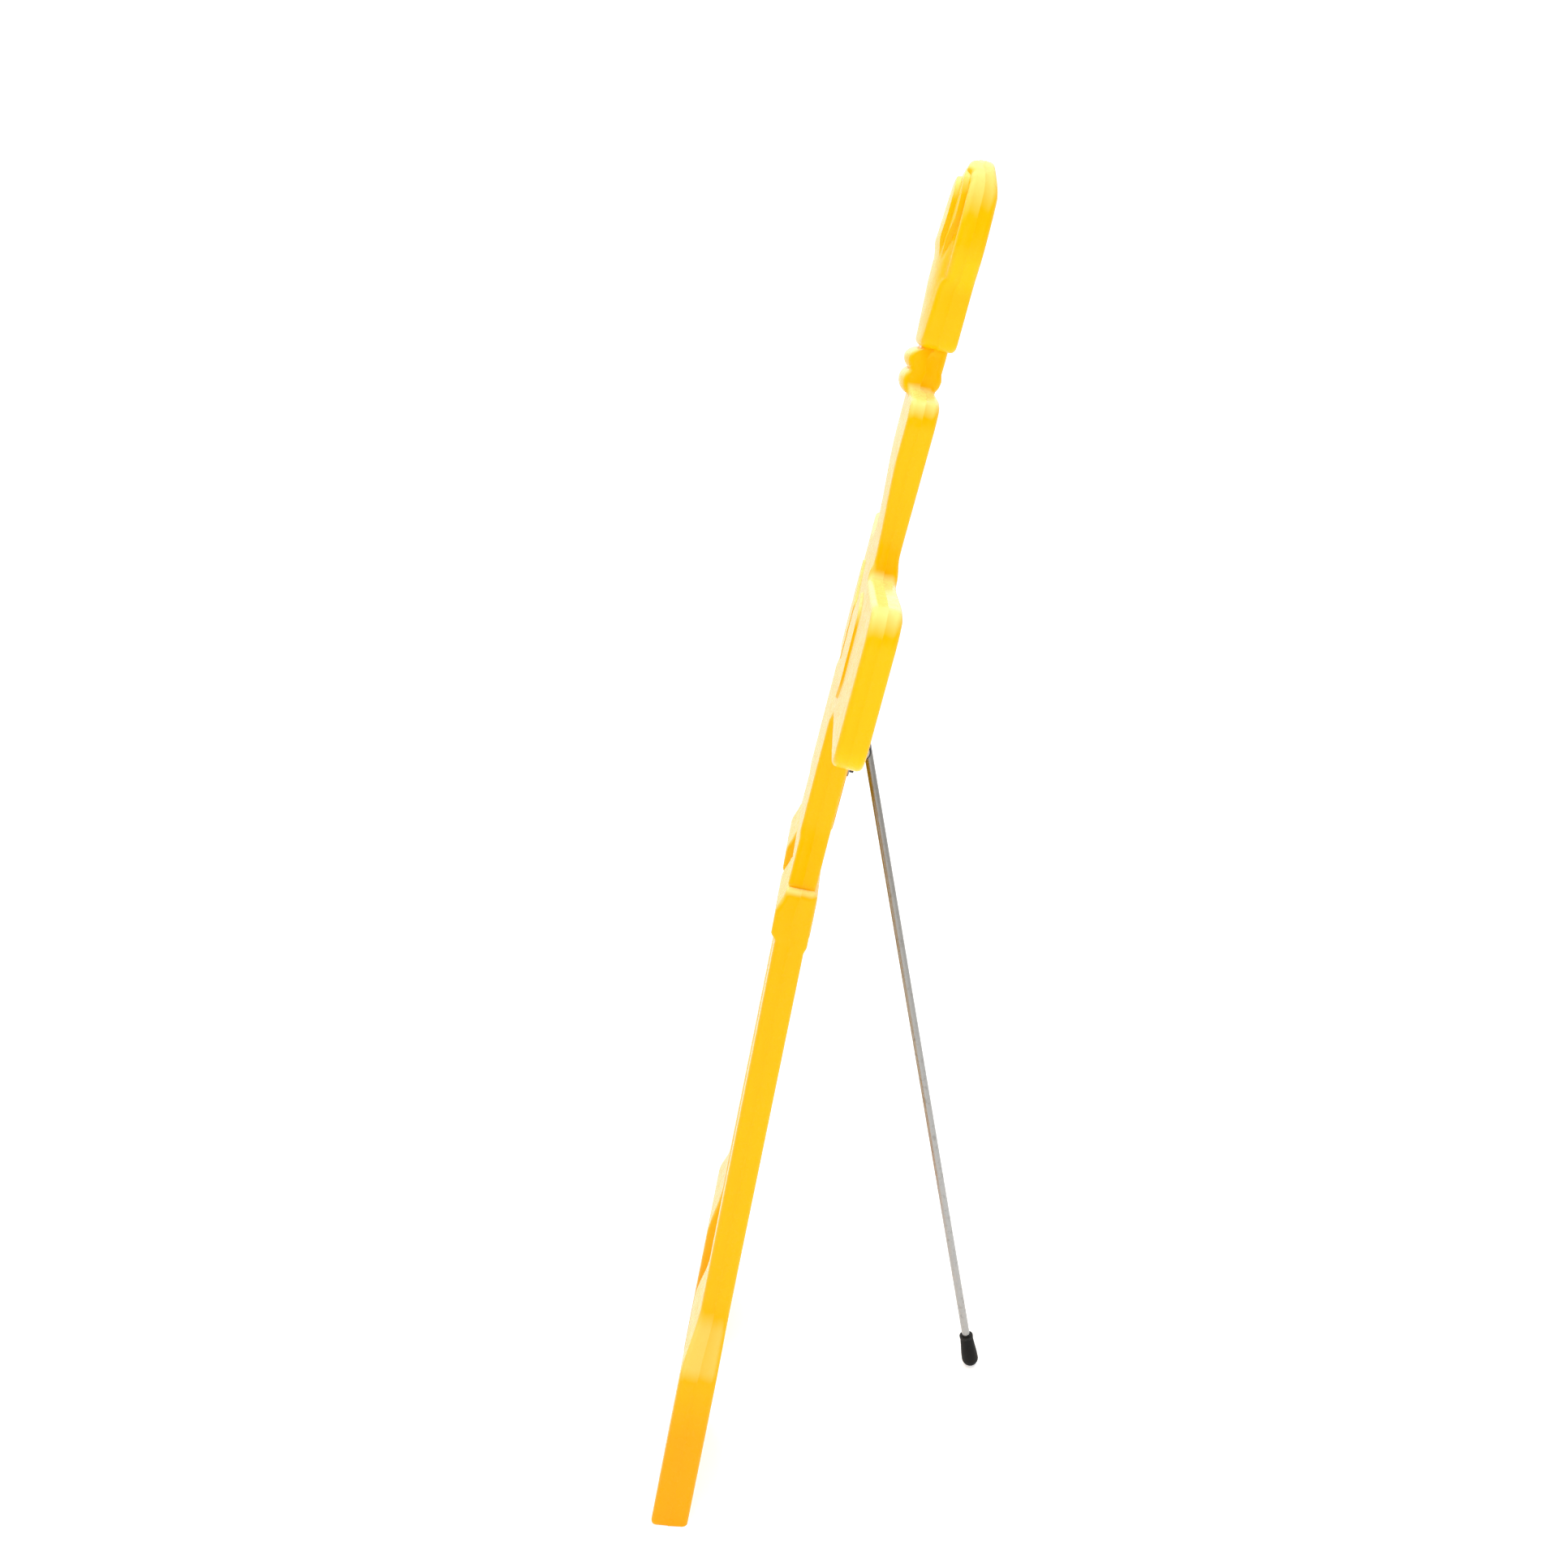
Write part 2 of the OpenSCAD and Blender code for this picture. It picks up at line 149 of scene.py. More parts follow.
def bump(nodes, links, shader, layers):
    """Stacks bump layers, each (height socket, strength, distance in metres)."""
    normal = None
    for height, strength, distance in layers:
        node = nodes.new("ShaderNodeBump")
        node.inputs["Strength"].default_value = strength
        node.inputs["Distance"].default_value = distance
        links.new(height, node.inputs["Height"])
        if normal:
            links.new(normal, node.inputs["Normal"])
        normal = node.outputs["Normal"]
    links.new(normal, shader.inputs["Normal"])


def axes(nodes, links, vector):
    """The X, Y and Z outputs of a vector."""
    split = nodes.new("ShaderNodeSeparateXYZ")
    links.new(vector, split.inputs["Vector"])
    return split.outputs


def height_mask(nodes, links, low, high, at_low, at_high):
    """A value that runs from at_low to at_high between two heights above the ground, in metres."""
    position = axes(nodes, links, nodes.new("ShaderNodeTexCoord").outputs["Object"])
    return remap(nodes, links, position["Z"], low, high, at_low, at_high)


def edge_mask(nodes, links, most):
    """A value that rises to most on convex edges, where a surface rubs."""
    pointiness = nodes.new("ShaderNodeNewGeometry").outputs["Pointiness"]
    return remap(nodes, links, pointiness, 0.52, 0.62, 0.0, most)


# ---------------------------------------------------------------- materials
def yellow_plastic():
    mat, nodes, links, shader = new_material("yellow_plastic")
    broad = remap(nodes, links, noise(nodes, links, 2.2, 2.0), 0.35, 0.65, 0.0, 1.0)
    colour = blend_colour(nodes, links, broad, (0.97, 0.47, 0.0), (0.98, 0.51, 0.0))
    scuff = remap(nodes, links, noise(nodes, links, 26.0, 8.0, (1, 1, 0.25), 1.2), 0.66, 0.74, 0.0, 0.14)
    colour = blend_colour(nodes, links, scuff, colour, (0.97, 0.62, 0.05))
    colour = blend_colour(nodes, links, edge_mask(nodes, links, 0.25), colour, (0.98, 0.62, 0.05))
    painted_foot_shade = height_mask(nodes, links, 0.12, 0.22, 0.85, 0.0)       # a deeper yellow in the feet: painted shade
    colour = blend_colour(nodes, links, painted_foot_shade, colour, (0.97, 0.38, 0.0))
    normal = axes(nodes, links, nodes.new("ShaderNodeNewGeometry").outputs["Normal"])
    painted_top_light = remap(nodes, links, normal["Z"], 0.30, 0.85, 0.0, 0.85)     # paler where it faces up: painted light from above
    colour = blend_colour(nodes, links, painted_top_light, colour, (1.0, 0.76, 0.22))
    links.new(colour, shader.inputs["Base Color"])
    gloss = remap(nodes, links, noise(nodes, links, 70.0, 4.0), 0.3, 0.7, 0.22, 0.32)
    links.new(gloss, shader.inputs["Roughness"])
    shader.inputs["IOR"].default_value = 1.5
    shader.inputs["Specular IOR Level"].default_value = 0.12
    waves = noise(nodes, links, 11.0, 1.0)
    peel = noise(nodes, links, 420.0, 2.0)
    bump(nodes, links, shader, [(waves, 0.12, 0.001), (peel, 0.04, 0.0002), (scuff, 0.15, 0.0002)])
    return mat


def zinc_steel():
    mat, nodes, links, shader = new_material("zinc_steel")
    drawn = noise(nodes, links, 60.0, 6.0, (6, 6, 0.5))
    spots = remap(nodes, links, noise(nodes, links, 170.0, 5.0), 0.56, 0.68, 0.0, 0.5)
    colour = blend_colour(nodes, links, drawn, (0.30, 0.30, 0.295), (0.42, 0.42, 0.41))
    colour = blend_colour(nodes, links, spots, colour, (0.22, 0.21, 0.19))
    painted_rod_shade = height_mask(nodes, links, 0.25, 0.85, 0.0, 0.65)      # darker towards the pivot: painted shade
    colour = blend_colour(nodes, links, painted_rod_shade, colour, (0.20, 0.18, 0.15))
    links.new(colour, shader.inputs["Base Color"])
    shader.inputs["Metallic"].default_value = 1.0
    links.new(remap(nodes, links, drawn, 0.3, 0.7, 0.20, 0.38), shader.inputs["Roughness"])
    bump(nodes, links, shader, [(drawn, 0.12, 0.0002), (spots, 0.1, 0.0001)])
    return mat


def brass_insert():
    mat, nodes, links, shader = new_material("brass_insert")
    turned = noise(nodes, links, 180.0, 5.0)
    links.new(blend_colour(nodes, links, turned, (0.55, 0.36, 0.12), (0.74, 0.54, 0.22)),
              shader.inputs["Base Color"])
    shader.inputs["Metallic"].default_value = 1.0
    links.new(remap(nodes, links, turned, 0.3, 0.7, 0.22, 0.42), shader.inputs["Roughness"])
    bump(nodes, links, shader, [(turned, 0.15, 0.0002)])
    return mat


def moulded(name, dark, light, rough, grain, dust):
    """A moulded rubber or plastic with fine grain and a little dust on its edges."""
    mat, nodes, links, shader = new_material(name)
    mottled = remap(nodes, links, noise(nodes, links, 40.0, 4.0), 0.3, 0.7, 0.0, 1.0)
    colour = blend_colour(nodes, links, mottled, dark, light)
    colour = blend_colour(nodes, links, edge_mask(nodes, links, 0.6), colour, dust)
    links.new(colour, shader.inputs["Base Color"])
    shader.inputs["Specular IOR Level"].default_value = 0.2
    fine = noise(nodes, links, grain, 3.0)
    links.new(remap(nodes, links, fine, 0.3, 0.7, rough - 0.08, rough + 0.08), shader.inputs["Roughness"])
    bump(nodes, links, shader, [(fine, 0.25, 0.0003), (mottled, 0.1, 0.0004)])
    return mat


MATERIALS = {
    "yellow_plastic": yellow_plastic(),
    "zinc_steel": zinc_steel(),
    "brass_insert": brass_insert(),
    "black_rubber": moulded("black_rubber", (0.004, 0.004, 0.004), (0.008, 0.008, 0.008), 0.62, 600.0,
                            (0.025, 0.025, 0.024)),
    "saddle_plastic": moulded("saddle_plastic", (0.022, 0.022, 0.024), (0.034, 0.034, 0.036), 0.46, 500.0,
                              (0.09, 0.09, 0.09)),
    "nylon": moulded("nylon", (0.68, 0.66, 0.58), (0.78, 0.76, 0.70), 0.42, 400.0, (0.55, 0.52, 0.45)),
}


def dress_cad_nodes():
    """Gives every CAD node the material of its slot."""
    for sub in record["subparts"]:
        node = frame["nodes"][sub["node"]]
        for slot in node.material_slots:
            slot.material = MATERIALS[sub["material_slot"]]


# ---------------------------------------------------------------- outlines, in mm
def corner(a, b, c, r, pitch):
    """Points along the arc of radius r that rounds the corner b."""
    u = (a - b) / np.linalg.norm(a - b)
    v = (c - b) / np.linalg.norm(c - b)
    half = math.acos(max(-1.0, min(1.0, float(u @ v)))) / 2
    middle = b + (u + v) / np.linalg.norm(u + v) * r / math.sin(half)
    start = b + u * r / math.tan(half) - middle
    cross = (b - a)[0] * (c - b)[1] - (b - a)[1] * (c - b)[0]
    sweep = (math.pi - 2 * half) * math.copysign(1, cross)
    steps = max(2, math.ceil(abs(sweep) * r / pitch))
    angles = [sweep * i / steps for i in range(steps + 1)]
    return [middle + (start[0] * math.cos(t) - start[1] * math.sin(t),
                      start[0] * math.sin(t) + start[1] * math.cos(t)) for t in angles]


def rounded(points, pitch=3.0):
    """A closed outline from corners (x, s, radius), with points no further apart than pitch."""
    corners = [np.array(p[:2], float) for p in points]
    count = len(points)
    arcs = []
    for i in range(count):
        arcs += corner(corners[i - 1], corners[i], corners[(i + 1) % count], points[i][2], pitch)
    loop = []
    for a, b in zip(arcs, arcs[1:] + arcs[:1]):
        steps = max(1, math.ceil(np.linalg.norm(b - a) / pitch))
        loop += [a + (b - a) * i / steps for i in range(steps)]
    return np.array(loop)


def both_sides(half):
    """Corners of a symmetrical outline, from its corners at positive x."""
    return half + [(-x, s, r) for x, s, r in reversed(half)]


def circle(x, s, r, count=28):
    """An anticlockwise circle of count points."""
    turns = np.arange(count) * 2 * math.pi / count
    return np.stack([x + r * np.cos(turns), s + r * np.sin(turns)], -1)


def inward(loop):
    """Unit normals that point into an anticlockwise loop."""
    along = np.roll(loop, -1, 0) - np.roll(loop, 1, 0)
    normal = np.stack([-along[:, 1], along[:, 0]], -1)
    return normal / np.linalg.norm(normal, axis=1, keepdims=True)


def inset(loop, depth):
    """The loop drawn in by depth, or out where depth is negative."""
    return loop + inward(loop) * depth


def depth_in(points, loop, chunk_size=2000):
    """How deep each point lies inside a loop, in mm; negative outside."""
    a, b = loop, np.roll(loop, -1, 0)
    edge = b - a
    result = []
    for chunk in np.array_split(points, max(1, len(points) // chunk_size)):
        rel = chunk[:, None] - a[None]
        t = np.clip((rel * edge).sum(-1) / (edge ** 2).sum(-1), 0, 1)
        gap = np.sqrt(((rel - t[..., None] * edge) ** 2).sum(-1).min(1))
        spans = (a[:, 1] > chunk[:, 1:]) != (b[:, 1] > chunk[:, 1:])
        rise = np.where(edge[:, 1] == 0, 1e-9, edge[:, 1])      # level edges are never crossed
        hits = chunk[:, :1] < a[:, 0] + (chunk[:, 1:] - a[:, 1]) / rise * edge[:, 0]
        result.append(np.where((spans & hits).sum(1) % 2 == 1, gap, -gap))
    return np.concatenate(result)


def smooth(value, low, high):
    """A smooth step from 0 at low to 1 at high."""
    t = np.clip((value - low) / (high - low), 0, 1)
    return t * t * (3 - 2 * t)


# ---------------------------------------------------------------- how a moulding is built
class Relief:
    """An area with a sloped border that is moved ahead by height, which raises a front and sinks a
    back. fade holds where along s the height starts and where it is full."""

    def __init__(self, loop, height, border, fade=None):
        self.loop, self.height, self.border, self.fade = loop, height, border, fade

    def lift(self, points):
        lift = self.height * smooth(depth_in(points, self.loop), 0.0, self.border)
        return lift * smooth(points[:, 1], *self.fade) if self.fade else lift

    def borders(self):
        return [self.loop, inset(self.loop, self.border)]


def surface(base, reliefs, points):
    """The n of points on a base surface with its reliefs."""
    return base(points[:, 0], points[:, 1]) + sum(r.lift(points) for r in reliefs)


FINE_PITCH = 2.2                 # spacing of the points on the neck's rolls
ROW_HEIGHT = 0.866               # rows of near equilateral triangles, in spacings
RING_ROOM = 0.6                  # least room between a grid point and the ring, in spacings
BORDER_ROOM = 0.8                # least room between a grid point and a relief's border, in mm
WELD = 0.005                     # points closer than this become one, in mm


def grid_inside(ring, pitch, fine_above):
    """Staggered points inside a ring, closer together above fine_above."""
    low, high = ring.min(0), ring.max(0)
    bands = [(low[1], high[1], pitch)]
    if fine_above:
        bands = [(low[1], fine_above, pitch), (fine_above, high[1], FINE_PITCH)]
    grid = []
    for start, stop, step in bands:
        for i, s in enumerate(np.arange(start, stop, step * ROW_HEIGHT)):
            xs = np.arange(low[0] + (i % 2) * step / 2, high[0], step)
            row = np.stack([xs, np.full(len(xs), s)], -1)
            grid.append(row[depth_in(row, ring) > step * RING_ROOM])
    return np.concatenate(grid)


def fill(ring, reliefs, pitch, fine_above):
    """Triangles over the inside of a ring, following the border of every relief.
    Returns the new points and the faces; points 0..len(ring)-1 are the ring's."""
    loops = [ring] + [loop for r in reliefs for loop in r.borders()]
    grid = grid_inside(ring, pitch, fine_above)
    for loop in loops[1:]:
        grid = grid[np.abs(depth_in(grid, loop)) > BORDER_ROOM]
    points, edges = [], []
    for loop in loops:
        first = len(points)
        points += [Vector(p) for p in loop]
        edges += [(first + i, first + (i + 1) % len(loop)) for i in range(len(loop))]
    points += [Vector(p) for p in grid]
    new, _, faces, origin, _, _ = delaunay_2d_cdt(points, edges, [], 1, WELD)
    renumber, extra = {}, []
    for i, sources in enumerate(origin):
        ring_source = [j for j in sources if j < len(ring)]
        renumber[i] = ring_source[0] if ring_source else len(ring) + len(extra)
        if not ring_source:
            extra.append(new[i])
    return np.array(extra), [[renumber[i] for i in face] for face in faces]


ARC_STEPS = 5                    # facets across a rounded edge
PARTING_REACH = 0.35             # how far the parting line stands out
PARTING_FOOT = 0.9               # half the width of its foot
CREASE = math.radians(50)        # faces that meet more sharply than this keep their edge


def side_rings(edge, rim_back, rim_front):
    """Inset and n of the rings round a body's side, from its back rim to its front rim."""
    arc = [math.pi / 2 * i / ARC_STEPS for i in range(ARC_STEPS + 1)]
    middle = (rim_back + rim_front) / 2
    rings = [(edge * (1 - math.sin(a)), rim_back + edge * (1 - math.cos(a))) for a in arc]
    rings += [(0.0, middle - PARTING_FOOT), (-PARTING_REACH, middle - PARTING_REACH),
              (-PARTING_REACH, middle + PARTING_REACH), (0.0, middle + PARTING_FOOT)]
    rings += [(edge * (1 - math.cos(a)), rim_front - edge * (1 - math.sin(a))) for a in arc]
    return rings


class Skin:
    """Collects the points and faces of one moulding's closed bodies."""

    def __init__(self, to_world):
        self.to_world, self.points, self.faces = to_world, [], []

    def add_body(self, outline, back, front, edge, back_reliefs=(), front_reliefs=(), pitch=6.0,
                 fine_above=None):
        """A body between a back and a front surface, with rounded edges and a parting line."""
        rim = inset(outline, edge)
        rings = side_rings(edge, surface(back, back_reliefs, rim), surface(front, front_reliefs, rim))
        first = len(self.points)
        count = len(outline)
        for depth, n in rings:
            loop = inset(outline, depth)
            self.points += list(np.stack([loop[:, 0], loop[:, 1], n], -1))
        for r in range(len(rings) - 1):
            for i in range(count):
                j = (i + 1) % count
                a, b = first + r * count, first + (r + 1) * count
                self.faces.append([a + i, a + j, b + j, b + i])
        for ring_no, shape, reliefs in ((0, back, back_reliefs), (len(rings) - 1, front, front_reliefs)):
            extra, faces = fill(rim, reliefs, pitch, fine_above)
            start = first + ring_no * count
            more = len(self.points)
            height = surface(shape, reliefs, extra)
            self.points += list(np.stack([extra[:, 0], extra[:, 1], height], -1))
            self.faces += [[start + i if i < count else more + i - count for i in face] for face in faces]

    def piece(self, name, node, mirrored=False):
        """Makes the Blender object that stands for a CAD moulding."""
        p = np.array(self.points)
        if mirrored:
            p[:, 0] = -p[:, 0]
        mesh = bpy.data.meshes.new(name)
        mesh.from_pydata(self.to_world(p[:, 0], p[:, 1], p[:, 2]).tolist(), [], self.faces)
        bm = bmesh.new()
        bm.from_mesh(mesh)
        bmesh.ops.recalc_face_normals(bm, faces=bm.faces)
        bm.to_mesh(mesh)
        bm.free()
        mesh.shade_smooth()
        mesh.set_sharp_from_angle(angle=CREASE)
        mesh.materials.append(MATERIALS["yellow_plastic"])
        piece = bpy.data.objects.new(name, mesh)
        scene.collection.objects.link(piece)
        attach(piece, "figure")
        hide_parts(node)


def flat(n):
    """A surface that lies at the same n everywhere."""
    return lambda x, s: np.full(len(x), float(n))


# ---------------------------------------------------------------- the figure's sizes, in mm
# A name that ends in _W is a half width, _S is a place along the panel and _R is a radius.
EDGE = 6.5                       # radius of the mouldings' edges
PLUG_R = 6.6
CHIN_S, CROWN_S, HEAD_W = 1414.0, 1610.0, 116.0
SHOULDER_S, SHOULDER_W = 1362.0, 158.0
WAIST_S, WAIST_W = 1172.0, 128.0
ARM_LOW_S, ARM_TOP_S, ELBOW_W = 1017.0, 1184.0, 372.0
HIP_W = 148.0
FOOT_W, FOOT_H = 262.0, 196.0
FLARE_S = FOOT_H + 62            # where the ankle's flare ends
SOLE_S = -11.0                   # below the ground for every n, so that on_legs can flatten the sole
SOCKET_LOW, SOCKET_TOP = HIP_S - 46, HIP_S + 18
HIP_BOLTS = [(80.0, HIP_S - 24), (120.0, HIP_S - 24)]
POCKET_R, POCKET_DEPTH = 9.5, 5.0       # round a hip bolt's head or its nut
TANG_W, TANG_LOW_S = 46.0, 1358.0       # the head's lug at the back of the collar
TANG_BACK, TANG_FRONT = 14, 22
TONGUE_X, TONGUE_W = 100.0, 40.0        # the torso's lugs in the tops of the legs
TONGUE_BACK, TONGUE_FRONT = 6.2, 28
BOSS_LOW_S, BOSS_TOP_S, BOSS_W = 850.0, 1012.0, 60.0    # under the strut bracket
BELT_S = 868.0                   # the belly stands out a little above it

# (s, radius, half width) of the collar's rolls at the front of the neck
COLLAR_ROLLS = [(1399, 11.5, 72), (1376, 14.0, 76)]

head_outline = rounded(both_sides([
    (HEAD_W - 40, CHIN_S, 16),
    (HEAD_W - 32, CHIN_S + 36, 30),
    (HEAD_W - 28, CHIN_S + 66, 30),
    (HEAD_W, CHIN_S + 98, 30),
    (HEAD_W - 2, CROWN_S, 82)]))

torso_outline = rounded(both_sides([
    (HIP_W + 6, SOCKET_TOP - 5, 6),
    (HIP_W - 8, 880, 90),
    (HIP_W - 4, ARM_LOW_S, 12),
    (ELBOW_W - 10, ARM_LOW_S, 32),
    (ELBOW_W, ARM_TOP_S, 34),
    (WAIST_W + 6, WAIST_S, 12),
    (WAIST_W, WAIST_S + 38, 40),
    (SHOULDER_W + 4, SHOULDER_S, 26),
    (62, 1370, 8),
    (56, CHIN_S + 7, 4)]))

leg_outline = rounded([
    (60, SOLE_S, 9),
    (FOOT_W, SOLE_S, 9),
    (FOOT_W - 24, FOOT_H, 40),
    (192, FLARE_S, 60),
    (172, 700, 60),
    (164, SOCKET_TOP, 8),
    (41, SOCKET_TOP, 8),
    (41, 700, 40),
    (76, FLARE_S, 60),
    (66, FOOT_H, 40)])

# ---------------------------------------------------------------- head
BROW_S = 1502.0                  # the face ends and the cap starts
CAP_FULL_S = 1530.0              # the cap's steps have their full height
FACE_W = 86.0                    # the face has fallen away to the cheeks

# (s, n) down the middle of the face and the cap
FACE_PROFILE = [(CHIN_S, 43.0), (1452, 44.5), (1482, 46.0), (BROW_S, 46.0), (CAP_FULL_S, 38.5),
                (1555, 37.0), (1586, 35.0), (1600, 31.0), (CROWN_S, 28.0)]


def plug_pocket(x, s):
    """The shallow pocket round a blow hole's plug."""
    return Relief(circle(x, s, PLUG_R), 1.2, 0.5)


def head_front(x, s):
    """Crowned face that falls away to the cheeks; above the brow the cap's steps add to its height."""
    across = np.clip(1 - (np.abs(x) / FACE_W) ** 2.4, 0, 1)
    level = np.interp(s, *zip(*FACE_PROFILE))
    rim = 31.5 - 3.5 * smooth(s, CROWN_S - 30, CROWN_S)
    return rim + (level - rim) * np.sqrt(across)


def head_back(x, s):
    """Flat, and drawn in towards the crown."""
    return 9.0 * smooth(s, CROWN_S - 42, CROWN_S)


def build_head():
    """The head with its cap's two steps, and the tang below it."""
    skin = Skin(on_torso)
    cap = rounded(both_sides([(68, BROW_S - 2, 6), (90, 1548, 40), (88, CROWN_S - 8, 42)]), 2.5)
    crown = rounded(both_sides([(62, BROW_S + 2, 6), (72, 1548, 40), (70, CROWN_S - 20, 34)]), 2.5)
    steps = [Relief(cap, 5.5, 1.2, (BROW_S - 2, CAP_FULL_S)), Relief(crown, 4.5, 1.2, (BROW_S, CAP_FULL_S))]
    skin.add_body(head_outline, head_back, head_front, EDGE, [plug_pocket(0, CHIN_S + 60)], steps, 4.5)
    tang = rounded(both_sides([(TANG_W, TANG_LOW_S, 8), (TANG_W, CHIN_S + 12, 8)]))
    skin.add_body(tang, flat(TANG_BACK), flat(TANG_FRONT), 2.5, pitch=8.0)
    skin.piece("head_shell", "head_moulding")


# ---------------------------------------------------------------- torso
def roll(x, s, centre, radius, half):
    """A bulging roll of the collar, 1 along its middle, which fades towards its ends."""
    t = np.clip(1 - ((s - centre) / radius) ** 2, 0, 1)
    return np.sqrt(t) * np.clip(1 - (np.abs(x) / half) ** 4, 0, 1)


def torso_front(x, s):
    """Belly, arms and chest one above the other, and the collar's two rolls."""
    chest = 31 + 6 * smooth(s, WAIST_S + 18, WAIST_S + 138) - 2.5 * (np.abs(x) / SHOULDER_W) ** 2
    arms = 27 + 5.5 * np.clip(1 - (np.abs(x) / ELBOW_W) ** 2, 0, 1)
    belly = 32.5 + 1.5 * smooth(s, BELT_S - 6, BELT_S + 6)
    level = belly + (arms - belly) * smooth(s, ARM_LOW_S - 13, ARM_LOW_S + 5)
    level = level + (chest - level) * smooth(s, ARM_TOP_S - 7, ARM_TOP_S + 3)
    return level + 14 * np.maximum(*[roll(x, s, *shape) for shape in COLLAR_ROLLS])


# (s, n) of the rolls at the neck's back, which add to the chest's back
NECK_PROFILE = [(1360, 0.0), (1366, 6.0), (1371, 5.5), (1376, 2.5), (1383, 1.5), (1390, 3.5), (1404, 3.0)]


def torso_back(x, s):
    """Arms that stand back a little, a chest that is set in and the neck's rolls."""
    arms_only = smooth(s, ARM_LOW_S - 13, ARM_LOW_S + 3) * (1 - smooth(s, ARM_TOP_S - 12, ARM_TOP_S + 2))
    arms = -3.5 * arms_only * smooth(np.abs(x), 170, 330)
    chest = 4.0 * smooth(s, WAIST_S, WAIST_S + 28)
    return arms + chest + np.interp(s, *zip(*NECK_PROFILE))


def build_torso():
    """The torso with the arms and the neck, and the two tongues below it."""
    skin = Skin(on_torso)
    boss = rounded(both_sides([(BOSS_W, BOSS_LOW_S, 20), (BOSS_W, BOSS_TOP_S, 20)]))
    forearm = [(16, 1040, 12), (150, 1034, 24), (178, 1060, 20), (176, 1140, 26), (110, 1152, 30),
               (16, 1110, 12)]
    left = rounded(forearm)
    right = rounded([(-x, s, r) for x, s, r in reversed(forearm)])
    recess_w = TANG_W + 0.3
    tang_recess = rounded(both_sides([(recess_w, TANG_LOW_S + 8, 5), (recess_w, CHIN_S - 8, 5)]), 2.0)
    back_reliefs = [Relief(boss, -5.0, 1.2), plug_pocket(0, 1280), Relief(tang_recess, 16.0, 1.2)]
    front_reliefs = [Relief(left, 2.5, 2.0), Relief(right, 2.5, 2.0)]
    skin.add_body(torso_outline, torso_back, torso_front, EDGE, back_reliefs, front_reliefs, 6.0,
                  fine_above=SHOULDER_S - 6)
    for side in (-1, 1):
        low_x, high_x = side * TONGUE_X - TONGUE_W, side * TONGUE_X + TONGUE_W
        tongue = rounded([(low_x, HIP_S - 56, 6), (high_x, HIP_S - 56, 6),
                          (high_x, SOCKET_TOP + 6, 6), (low_x, SOCKET_TOP + 6, 6)])
        skin.add_body(tongue, flat(TONGUE_BACK), flat(TONGUE_FRONT), 3.0, pitch=8.0)
    skin.piece("torso_shell", "torso_moulding")


# ---------------------------------------------------------------- legs
def leg_front(x, s):
    """A thick foot, a thinner thigh and the bulge round the hip's socket."""
    foot = 43.5 - 9.5 * smooth(s, FOOT_H - 6, FOOT_H + 66)
    bulge = 5.9 * smooth(s, SOCKET_LOW, SOCKET_LOW + 9) - 8.0 * smooth(s, SOCKET_TOP - 31, SOCKET_TOP)
    return foot + bulge


def leg_back(x, s):
    """Flat, and stepped back at the hip's socket."""
    return -1.5 - 2.5 * smooth(s, SOCKET_LOW - 10, SOCKET_LOW - 1)


def build_leg(name, node, mirrored):
    """A leg, drawn as the left one and mirrored for the right one."""
    skin = Skin(on_legs)
    pockets = [circle(x, s, POCKET_R) for x, s in HIP_BOLTS]
    tab = rounded([(48, SOCKET_LOW + 4, 8), (154, SOCKET_LOW + 4, 8),
                   (153, SOCKET_TOP - 8, 10), (49, SOCKET_TOP - 8, 10)])
    back_reliefs = [Relief(loop, POCKET_DEPTH, 0.6) for loop in pockets]
    back_reliefs += [plug_pocket(150, 96), Relief(tab, -0.8, 1.0)]
    front_reliefs = [Relief(loop, -POCKET_DEPTH, 0.6) for loop in pockets]
    skin.add_body(leg_outline, leg_back, leg_front, EDGE, back_reliefs, front_reliefs, 6.0)
    skin.piece(name, node, mirrored)


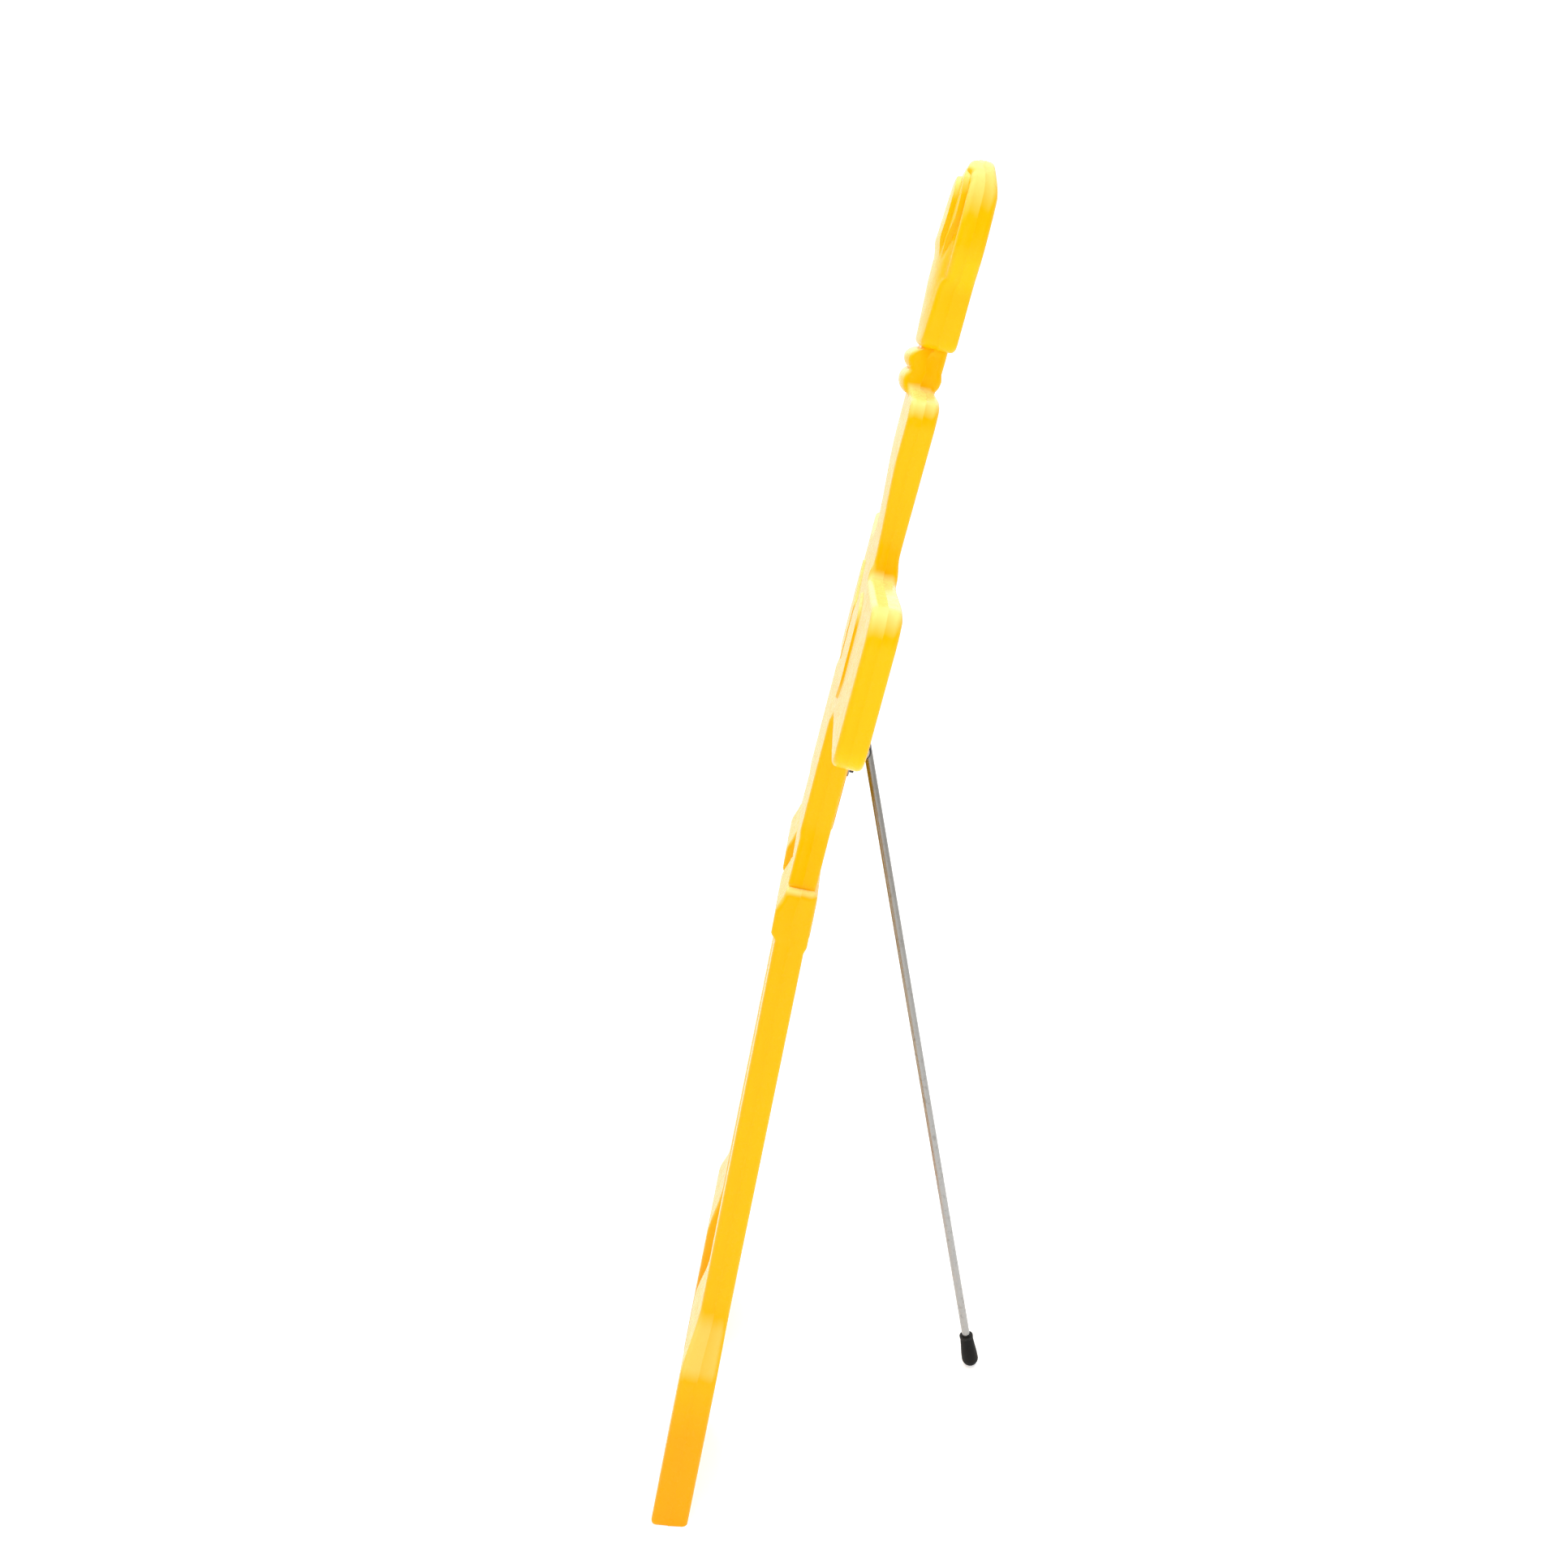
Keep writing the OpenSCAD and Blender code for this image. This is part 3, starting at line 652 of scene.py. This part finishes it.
# ---------------------------------------------------------------- light and floor
def add_area(name, at, look_at, size, watts, glossy=True):
    data = bpy.data.lights.new(name, "AREA")
    data.shape = "RECTANGLE"
    data.size, data.size_y = size
    data.energy = watts
    lamp = bpy.data.objects.new(name, data)
    lamp.location = at
    lamp.rotation_euler = (Vector(look_at) - Vector(at)).to_track_quat("-Z", "Y").to_euler()
    lamp.visible_glossy = glossy
    scene.collection.objects.link(lamp)


def larger(nodes, links, a, b):
    """The larger of two values."""
    node = nodes.new("ShaderNodeMath")
    node.operation = "MAXIMUM"
    links.new(a, node.inputs[0])
    links.new(b, node.inputs[1])
    return node.outputs[0]


def add_world():
    """A white studio that is dim on the +X side, so surfaces that face that way keep their colour."""
    world = bpy.data.worlds.new("studio")
    world.use_nodes = True
    nodes, links = world.node_tree.nodes, world.node_tree.links
    direction = axes(nodes, links, nodes.new("ShaderNodeTexCoord").outputs["Generated"])
    side = remap(nodes, links, direction["X"], -0.40, 0.25, 1.35, 0.08)
    top = remap(nodes, links, direction["Z"], 0.5, 0.9, 0.0, 1.0)
    in_view = nodes.new("ShaderNodeLightPath").outputs["Is Camera Ray"]     # the camera sees it white
    back = nodes["Background"]
    back.inputs["Color"].default_value = (1.0, 1.0, 1.0, 1.0)
    links.new(larger(nodes, links, larger(nodes, links, side, top), in_view), back.inputs["Strength"])
    scene.world = world


def add_floor():
    """A white floor that glows a little, so that it meets the background without a line."""
    bpy.ops.mesh.primitive_plane_add(size=40.0, location=(0, 0, 0))
    floor = bpy.context.object
    floor.name = "floor"
    mat, _, _, shader = new_material("floor")
    shader.inputs["Base Color"].default_value = (0.8, 0.8, 0.8, 1.0)
    shader.inputs["Roughness"].default_value = 0.8
    shader.inputs["Specular IOR Level"].default_value = 0.1
    shader.inputs["Emission Color"].default_value = (1.0, 1.0, 1.0, 1.0)
    shader.inputs["Emission Strength"].default_value = 0.54
    floor.data.materials.append(mat)


# ---------------------------------------------------------------- the scene
scene.view_settings.view_transform = "Standard"
add_camera()
add_world()
add_floor()
add_area("top", (0.2, -0.4, 3.4), (0, 0, 0.6), (3.0, 3.0), 46)
add_area("side", (3.4, 0.3, 1.7), (0, 0, 0.8), (2.4, 2.4), 42, glossy=False)
dress_cad_nodes()
build_head()
build_torso()
build_leg("left_leg_shell", "left_leg_moulding", False)
build_leg("right_leg_shell", "right_leg_moulding", True)
